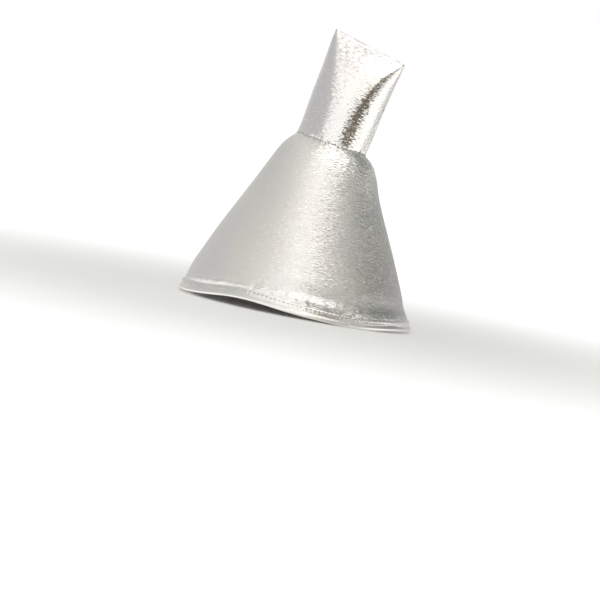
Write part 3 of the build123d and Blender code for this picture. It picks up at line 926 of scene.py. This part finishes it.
def make_spout_panel(front, columns, rows):
    """The grid of one panel, from its allowance below the crown seam to the closed top."""
    angle = (0.0 if front else math.pi) + np.linspace(0, math.pi, 721)
    heights = np.concatenate([np.linspace(0, 0.85, rows), np.linspace(0.86, 1, 18)])
    body = [evenly(spout_section(angle, h), columns) for h in heights]

    ring, top = body[0], body[-1]
    inward = (FOOT - ring) * [1, 1, 0]
    inward /= np.linalg.norm(inward, axis=1, keepdims=True)
    skirt = [ring + inward * LAME_T - [0, 0, depth] for depth in SKIRT_DEPTHS]

    from_end = top - FOOT - SPOUT_AXIS * SPOUT_L
    off_seam, off_middle = from_end @ TOP_FRONT, from_end @ ALONG_TOP
    cap = []
    for i in range(1, CAP_ROWS + 1):
        turned = math.pi / 2 * i / CAP_ROWS
        closing = 1 - math.cos(turned)
        pull = TOP_FRONT * (off_seam * closing * 0.97)[:, None]
        narrow = ALONG_TOP * (off_middle * closing * 0.03)[:, None]
        rise = CAP_RISE * math.sin(turned) - CAP_SINK * (i / CAP_ROWS) ** 6
        cap.append(top - pull - narrow + SPOUT_AXIS * rise)
    return np.stack(skirt + body + cap)


def from_seams(u):
    """Distance of each point of a panel's grid from the nearer side seam."""
    return np.minimum(u - u.min(axis=1, keepdims=True), u.max(axis=1, keepdims=True) - u)


def spout_wrinkles(uv, front):
    """How far the spout's cloth stands off its plain outline, over a panel's grid."""
    u, v = uv[..., 0], uv[..., 1]
    seed = 31 if front else 41
    edge = from_seams(u)
    above_foot = np.maximum(v - v[SKIRT_ROWS, 0], 0)
    below_top = np.maximum(v[-CAP_ROWS - 1, 0] - v, 0)
    gather = 0.6 * ripple(u, v, 4.2 * MM, 26 * MM, seed) + 0.4 * ripple(u, v, 2.4 * MM, 14 * MM, seed + 1)
    lift = 0.8 * MM * gather * np.exp(-above_foot / (4 * MM))
    lift = lift - 0.5 * MM * np.exp(-above_foot / (0.9 * MM))
    lift = lift + 0.25 * MM * ripple(u, v, 30 * MM, 26 * MM, seed + 2)
    lift = lift + 0.03 * MM * ripple(u, v, 7 * MM, 2.2 * MM, seed + 3)
    lift = lift + 0.035 * MM * ripple(u, v, 4 * MM, 1.3 * MM, seed + 7)
    seam_pull = ripple(u * 0, v, 5 * MM, 5 * MM, seed + 4)
    beside_seam = 0.35 * MM * np.exp(-(((edge - 2.4 * MM) / (1.4 * MM)) ** 2))
    groove = (0.9 * MM + 0.3 * MM * seam_pull) * np.exp(-((edge / (0.8 * MM)) ** 2))
    lift = lift + (beside_seam - groove) * smooth(below_top, 0, 5 * MM)
    lift = lift + 0.08 * MM * ripple(u, v, 3.5 * MM, 8 * MM, seed + 5) * np.exp(-below_top / (6 * MM))
    lift[:SKIRT_ROWS] = 0
    lift[-CAP_ROWS:] *= 0.3
    return lift


def spout_crinkle_and_painted_light(uv):
    """How crinkled the spout's foil is, and where its material paints glints and shade."""
    edge = from_seams(uv[..., 0])
    foot = np.exp(-np.maximum(uv[..., 1] - uv[SKIRT_ROWS, 0, 1], 0) / (5 * MM))
    teeth = 0.5 * MM * ripple(0 * edge, uv[..., 1], 1.5 * MM, 1.5 * MM, 51)
    return {
        # the crinkle mask also brings painted crease shade, held back at the foot where glints are painted
        "crinkle": np.clip(0.7 + 0.3 * foot + 0.3 * np.exp(-edge / (2 * MM)), 0, 1),
        # painted glints, most at the gathered foot
        "painted_glint": np.clip(0.25 + 0.75 * foot, 0, 1),
        # painted shade: a ragged grey strip along each side seam
        "painted_shade": 0.55 * smooth(2.0 * MM + teeth - edge, 0, 0.5 * MM),
    }


def facing(grid, normals):
    """1 if the grid's own normals point the same way as the given ones, -1 if not."""
    return -1 if np.mean(np.sum(grid_normals(grid, False) * normals, axis=2)) < 0 else 1


def bend_with_spout(piece):
    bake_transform(piece)
    return piece


def make_spout_cloth(front):
    name = "spout_front_cloth" if front else "spout_back_cloth"
    grid = make_spout_panel(front, columns=190, rows=96)
    normals = outward_normals(grid)
    grid = grid + normals * spout_wrinkles(grid_uv(grid), front)[..., None]
    uv = grid_uv(grid)
    piece = cloth(name, grid, LAME_T, outward=facing(grid, normals), attributes=spout_crinkle_and_painted_light(uv))
    nodes = ("spout_front_panel", "spout_collar") if front else ("spout_back_panel",)
    finish_piece(piece, SPOUT_LAME, "silver_lame", None, *nodes)
    return bend_with_spout(piece)


def outward_normals(grid):
    """Grid normals that point away from the spout's axis."""
    normals = grid_normals(grid, False)
    along = (grid - FOOT) @ SPOUT_AXIS
    axis_points = FOOT + along[..., None] * SPOUT_AXIS
    if np.mean(np.sum(normals * (grid - axis_points), axis=2)) < 0:
        normals = -normals
    return normals


def make_spout_padding(front):
    """Padding behind one panel, clear of its foot, its side seams and its closed top."""
    name = "spout_front_padding" if front else "spout_back_padding"
    grid = make_spout_panel(front, columns=60, rows=40)[SKIRT_ROWS + 4 : -CAP_ROWS - 4]
    normals = outward_normals(grid)
    grid = (grid - normals * 1.5 * MM)[:, 3:-3]
    piece = cloth(name, grid, 1.6 * MM, outward=facing(grid, normals[:, 3:-3]))
    node = "spout_front_foam" if front else "spout_back_foam"
    finish_piece(piece, FOAM, "backing_foam", None, node)
    return bend_with_spout(piece)


def seam_line(side, first, last, count):
    """Points down one side seam of the spout, just inside its groove."""
    angle = np.array([0.0 if side < 0 else math.pi])
    points, outs = [], []
    for h in np.linspace(first, last, count):
        point = spout_section(angle, h)[0]
        axis_point = FOOT + SPOUT_AXIS * ((point - FOOT) @ SPOUT_AXIS)
        out = point - axis_point
        out /= np.linalg.norm(out)
        points.append(point - out * 0.75 * MM)
        outs.append(out)
    return np.array(points), np.array(outs)


def make_side_stitches():
    """Stitches that show in the groove of both side seams."""
    rings = []
    for side in (-1, 1):
        points, outs = seam_line(side, 0.12, 0.97, 26)
        for i in range(len(points) - 1):
            start = points[i] + (points[i + 1] - points[i]) * 0.15
            end = points[i] + (points[i + 1] - points[i]) * 0.85
            rings.append(stitch_rings(start, end, outs[i], radius=0.2 * MM, bow=0.1 * MM, sink=0.4 * MM))
    piece = tubes("side_stitches", rings)
    finish_piece(piece, SILVER_THREAD, "silver_thread", None, "spout_side_thread")
    return bend_with_spout(piece)


def make_top_stitches():
    """Stitches sunk in the closed top seam."""
    count = 20
    share = np.linspace(-0.92, 0.92, count)
    end = FOOT + SPOUT_AXIS * (SPOUT_L + 0.6 * MM)
    points = end + (share * TOP_HALF_W)[:, None] * ALONG_TOP
    outs = np.tile(SPOUT_AXIS, (count, 1))
    thread = {"radius": 0.16 * MM, "bow": 0.05 * MM, "sink": 0.4 * MM}
    piece = stitch_row("top_stitches", points, outs, gap_share=0.25, closed=False, **thread)
    return finish_piece(piece, SILVER_THREAD, "silver_thread", "spout", "spout_top_thread")


# ---- inside trim --------------------------------------------------------------------
LEAF_W = 6.6 * MM
LABEL_W = 15.6 * MM
RIBBON_W = 7.6 * MM
RIBBON_EYE_R = 2.6 * MM
RIBBON_FOOT_Z = 11 * MM     # the tails leave the lining here
LABEL_ANGLE = math.atan2(label_low[1] + label_high[1], label_low[0] + label_high[0])


def wall_spot(theta, z, depth):
    """One point at a depth inside the cone's plain outline."""
    return wall_point(np.array([theta]), np.array([up_wall(z)]), np.array([-depth]))[0]


def make_seam_leaf(side):
    """One turned-in edge of the cone's panel, standing inside along the back seam."""
    rows, columns = 60, 9
    z = np.linspace(fin_low[2], fin_high[2], rows)
    wall_s = up_wall(z)
    grid = np.zeros((rows, columns, 3))
    flutter = ripple(np.zeros(rows), z, 9 * MM, 9 * MM, 51 + side)
    for j, reach in enumerate(np.linspace(0, LEAF_W, columns)):
        depth = WALL_T + 0.2 * MM + reach
        point = wall_point(np.full(rows, SEAM_START), wall_s, np.full(rows, -depth))
        point[:, 0] += side * (0.95 * MM + 1.5 * MM * (reach / LEAF_W) ** 2 * (0.7 + 0.5 * flutter))
        grid[:, j] = point
    return grid


def make_seam_allowance():
    for side, name in ((-1, "seam_leaf_left"), (1, "seam_leaf_right")):
        grid = make_seam_leaf(side)
        outward = np.sign(np.mean(grid_normals(grid, False)[..., 0]) * side)
        leaf = cloth(name, grid, 1.3 * MM, outward=outward)
        finish_piece(leaf, LINING, "tricot_lining", "cone", "back_seam_allowance")


def make_overlock():
    """Thread looped over the free edge of both leaves."""
    t = np.linspace(0, 1, 9)
    swing = (1 - np.cos(TURN * t)) / 2
    rings = []
    for side in (-1, 1):
        grid = make_seam_leaf(side)
        edge, near = grid[:, -1], grid[:, -4]
        places = np.arange(len(edge))
        ends = np.linspace(1, len(edge) - 2, 74)
        for start, end in zip(ends[:-1], ends[1:]):
            row = start + (end - start) * t
            edge_at, near_at = sample(edge, places, row), sample(near, places, row)
            path = near_at * (1 - swing)[:, None] + edge_at * swing[:, None]
            path[:, 0] += side * 0.15 * MM
            past = edge_at - near_at
            past /= np.linalg.norm(past, axis=1, keepdims=True)
            path += past * (0.35 * MM * swing**4)[:, None]
            rings.append(tube_points(path, 0.16 * MM, 5, up=np.tile([1.0, 0, 0], (9, 1))))
    piece = tubes("overlock_stitches", rings)
    return finish_piece(piece, WHITE_THREAD, "white_thread", "cone", "back_seam_thread")


def make_ribbon_loop(name, node):
    """A folded ribbon: both tails lie up the lining, and its fold makes an open eye."""
    low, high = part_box(node)
    side = 1 if low[0] > 0 else -1
    inner_x = side * min(abs(low[0]), abs(high[0]))
    eye = np.array([inner_x + side * (RIBBON_EYE_R + 0.4 * MM), low[2] + RIBBON_EYE_R + 0.5 * MM])
    top_z = high[2] - 0.5 * MM
    theta = 0.0 if side > 0 else math.pi

    def tail(z, off):
        point = wall_spot(theta, z, WALL_T + 0.35 * MM + off)
        return point[0], point[2]

    outer = [tail(z, 0.0) for z in np.linspace(top_z, RIBBON_FOOT_Z, 5)]
    inner = [tail(z, 0.75 * MM) for z in np.linspace(RIBBON_FOOT_Z, top_z, 5)]
    turn = np.linspace(0.55, -1.35, 12) * math.pi
    bend = [eye + RIBBON_EYE_R * np.array([side * math.cos(a), math.sin(a)]) for a in turn]
    line = smooth_line(np.array(outer + bend + inner), 90)
    columns = 9
    across = np.linspace(-0.5, 0.5, columns) * RIBBON_W
    grid = np.zeros((len(line), columns, 3))
    for j, y in enumerate(across):
        grid[:, j, 0] = line[:, 0]
        grid[:, j, 1] = y
        grid[:, j, 2] = line[:, 1]
    piece = cloth(name, grid, 0.35 * MM, outward=side)
    return finish_piece(piece, RIBBON, "loop_ribbon", "cone", node)


def make_bar_tacks():
    """Dense zigzag tacks across both ribbon tails."""
    rings = []
    low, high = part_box("loop_thread")
    for side in (-1, 1):
        theta = 0.0 if side > 0 else math.pi
        for z in np.linspace(low[2] + 0.3 * MM, high[2] - 0.3 * MM, 9):
            middle = wall_spot(theta, z, WALL_T + 1.65 * MM)
            half = np.array([0, 2.6 * MM, 0.25 * MM])
            start, end = middle - half, middle + half
            out = np.array([-side, 0.0, 0.0])
            rings.append(stitch_rings(start, end, out, radius=0.2 * MM, bow=0.12 * MM, sink=0.5 * MM))
    piece = tubes("bar_tacks", rings)
    return finish_piece(piece, WHITE_THREAD, "white_thread", "cone", "loop_thread")


def label_grid(lift):
    """The label's sheet: sewn along its top, its free end curling off the lining."""
    rows, columns = 40, 20
    v = np.linspace(0, 1, rows)[:, None].repeat(columns, axis=1)
    u = np.linspace(-0.5, 0.5, columns)[None, :].repeat(rows, axis=0)
    z = label_high[2] + (label_low[2] - label_high[2]) * v
    s = up_wall(z)
    r_here = FOOT_R - s * math.sin(HALF_ANGLE)
    theta = LABEL_ANGLE + u * LABEL_W / r_here
    curl = 2.6 * MM * v**2.2 * (0.75 + 0.5 * u)
    curl = curl + 0.5 * MM * np.sin(math.pi * v) * np.cos(3 * math.pi * u) * v
    depth = WALL_T + 0.3 * MM + lift + curl
    return wall_point(theta, s, -depth)


def make_label():
    grid = label_grid(0.0)
    piece = cloth("care_label_cloth", grid, 0.25 * MM, outward=1)
    return finish_piece(piece, SATIN, "label_satin", "cone", "care_label")


def make_label_stitches():
    grid = label_grid(0.45 * MM)
    row = grid[2, 1:-1]
    rings = []
    inward = np.array([-math.cos(LABEL_ANGLE), -math.sin(LABEL_ANGLE), 0.0])
    for i in range(0, len(row) - 2, 2):
        end = row[i] + (row[i + 2] - row[i]) * 0.8
        rings.append(stitch_rings(row[i], end, inward, radius=0.16 * MM, bow=0.1 * MM, sink=0.3 * MM))
    piece = tubes("label_stitches", rings)
    return finish_piece(piece, WHITE_THREAD, "white_thread", "cone", "label_thread")


# ---- studio -------------------------------------------------------------------------
FLOOR_R = 30.0
FADE = (0.10, 0.60)     # the floor starts to fade here, out from the hat's middle, and ends here
FLOOR_GLOW = 1.1


def make_floor():
    """Pale paper that fades into the bright background away from the hat."""
    below = (0, 0, -0.2 * MM)
    bpy.ops.mesh.primitive_circle_add(vertices=128, radius=FLOOR_R, fill_type="NGON", location=below)
    floor = bpy.context.object
    floor.name = "floor"
    m = Cloth("floor_paper")
    place = m.node("ShaderNodeTexCoord").outputs["Object"]
    mottle = m.node("ShaderNodeTexNoise", {"Vector": place, "Scale": 3.0}).outputs["Fac"]
    m.put("Base Color", m.mix(mottle, colour(0.90, 0.90, 0.90), colour(0.94, 0.94, 0.94)))
    m.set(Roughness=0.9)
    reach = m.node("ShaderNodeVectorMath", {0: place}, operation="LENGTH").outputs["Value"]
    far = m.ease(reach, *FADE)
    glow = m.node("ShaderNodeEmission", {"Strength": FLOOR_GLOW})
    blend = m.node("ShaderNodeMixShader", {0: far, 1: m.shader.outputs[0], 2: glow.outputs[0]})
    m.tree.links.new(blend.outputs[0], m.tree.nodes["Material Output"].inputs["Surface"])
    floor.data.materials.append(m.material)
    floor.visible_glossy = False


# Soft panels and dark cards round the hat, seen only as reflections in its foil. Each has
# its azimuth range (0 is the front, + is to the right), its elevation range, how softly it
# ends, all in degrees, and what it adds to the room's red, green and blue.
ROOM = (0.725, 0.725, 0.71)
PANELS = [
    ("front_panel", (-36, 20), (-55, 60), 5, (0.50, 0.51, 0.50)),
    ("front_soft", (-80, 60), (28, 90), 25, (0.09, 0.08, 0.04)),
    ("left_card", (-140, -46), (-8, 40), 8, (-0.11, -0.10, -0.10)),
    ("left_low", (-165, -38), (-80, -12), 6, (0.50, 0.50, 0.50)),
    ("brown_card", (22, 60), (-18, 22), 3, (-0.54, -0.57, -0.59)),
    ("brown_card_top", (24, 48), (22, 62), 3, (-0.54, -0.57, -0.59)),
    ("top_panel", (-40, 112), (68, 90), 5, (0.22, 0.22, 0.19)),
    ("shoulder_panel", (32, 112), (58, 88), 5, (0.60, 0.60, 0.60)),
    ("right_strip", (64, 118), (-40, 19), 4, (0.62, 0.62, 0.62)),
    ("right_card", (76, 160), (22, 58), 10, (-0.50, -0.49, -0.50)),
]


def make_world():
    """Pure white to the camera; panels and cards, seen only by the hat, shape its shine."""
    world = bpy.data.worlds.new("studio")
    world.use_nodes = True
    bpy.context.scene.world = world
    n = Nodes(world.node_tree)
    n.tree.nodes.clear()

    def window(angle, limits, edge):
        """1 while the angle is inside the limits, easing to 0 over the edge."""
        middle, half = (limits[0] + limits[1]) / 2, (limits[1] - limits[0]) / 2
        away = n.math("ABSOLUTE", n.math("SUBTRACT", angle, middle))
        return n.ease(away, half + edge, half - edge)

    toward = n.node("ShaderNodeTexCoord").outputs["Generated"]
    split = n.node("ShaderNodeSeparateXYZ", {0: toward}).outputs
    to_front = n.math("MULTIPLY", split["Y"], -1.0)
    azimuth = n.math("DEGREES", n.math("ARCTAN2", split["X"], to_front))
    elevation = n.math("DEGREES", n.math("ARCSINE", split["Z"]))
    total = n.node("ShaderNodeCombineXYZ", dict(enumerate(ROOM))).outputs[0]
    for name, azimuths, elevations, edge, change in PANELS:
        patch = n.math("MULTIPLY", window(azimuth, azimuths, edge), window(elevation, elevations, edge))
        inputs = {0: patch, 1: change, 2: total}
        added = n.node("ShaderNodeVectorMath", inputs, operation="MULTIPLY_ADD", label=name)
        total = added.outputs[0]
    soft = n.node("ShaderNodeBackground", {"Color": total}).outputs[0]
    seen = n.node("ShaderNodeBackground", {"Color": colour(1, 1, 1)}).outputs[0]
    camera_ray = n.node("ShaderNodeLightPath").outputs["Is Camera Ray"]
    mixed = n.node("ShaderNodeMixShader", {0: camera_ray, 1: soft, 2: seen}).outputs[0]
    n.node("ShaderNodeOutputWorld", {"Surface": mixed})


def area_light(name, place, target, size, power):
    data = bpy.data.lights.new(name, "AREA")
    data.shape = "DISK"
    data.size = size
    data.energy = power
    light = bpy.data.objects.new(name, data)
    light.location = place
    direction = Vector(target) - Vector(place)
    light.rotation_euler = direction.to_track_quat("-Z", "Y").to_euler()
    bpy.context.scene.collection.objects.link(light)


def make_lights():
    middle = (0.0, 0.0, 0.1)
    area_light("key", (0.35, -0.6, 1.5), middle, size=0.6, power=2)


def place_camera():
    """The hat leans in the picture, so the camera is rolled and the hat stands upright."""
    distance, elevation, roll = 2.0, math.radians(3.4), math.radians(10.9)
    aim = Vector((2.5 * MM, 0, 7.9 * MM))
    seen_width = 0.414
    forward = Vector((0, math.cos(elevation), -math.sin(elevation)))
    right = Vector((1, 0, 0))
    up = right.cross(forward)
    rolled_up = up * math.cos(roll) - right * math.sin(roll)
    rolled_right = right * math.cos(roll) + up * math.sin(roll)
    data = bpy.data.cameras.new("camera")
    data.sensor_width = 36
    data.lens = 36 * distance / seen_width
    camera = bpy.data.objects.new("camera", data)
    turn = Matrix((rolled_right, rolled_up, -forward)).transposed()
    camera.matrix_world = Matrix.Translation(aim - forward * distance) @ turn.to_4x4()
    bpy.context.scene.collection.objects.link(camera)
    bpy.context.scene.camera = camera


place_camera()
make_world()
make_lights()
make_floor()
bpy.context.scene.view_settings.view_transform = "Standard"

make_cone_cloth()
make_cone_padding()
make_lining_cloth()
make_brim_strip()
make_binding_stitches()
make_crown_stitches()
for is_front in (True, False):
    make_spout_cloth(is_front)
    make_spout_padding(is_front)
make_side_stitches()
make_top_stitches()
make_seam_allowance()
make_overlock()
make_ribbon_loop("ribbon_loop_left", "elastic_loop_left")
make_ribbon_loop("ribbon_loop_right", "elastic_loop_right")
make_bar_tacks()
make_label()
make_label_stitches()
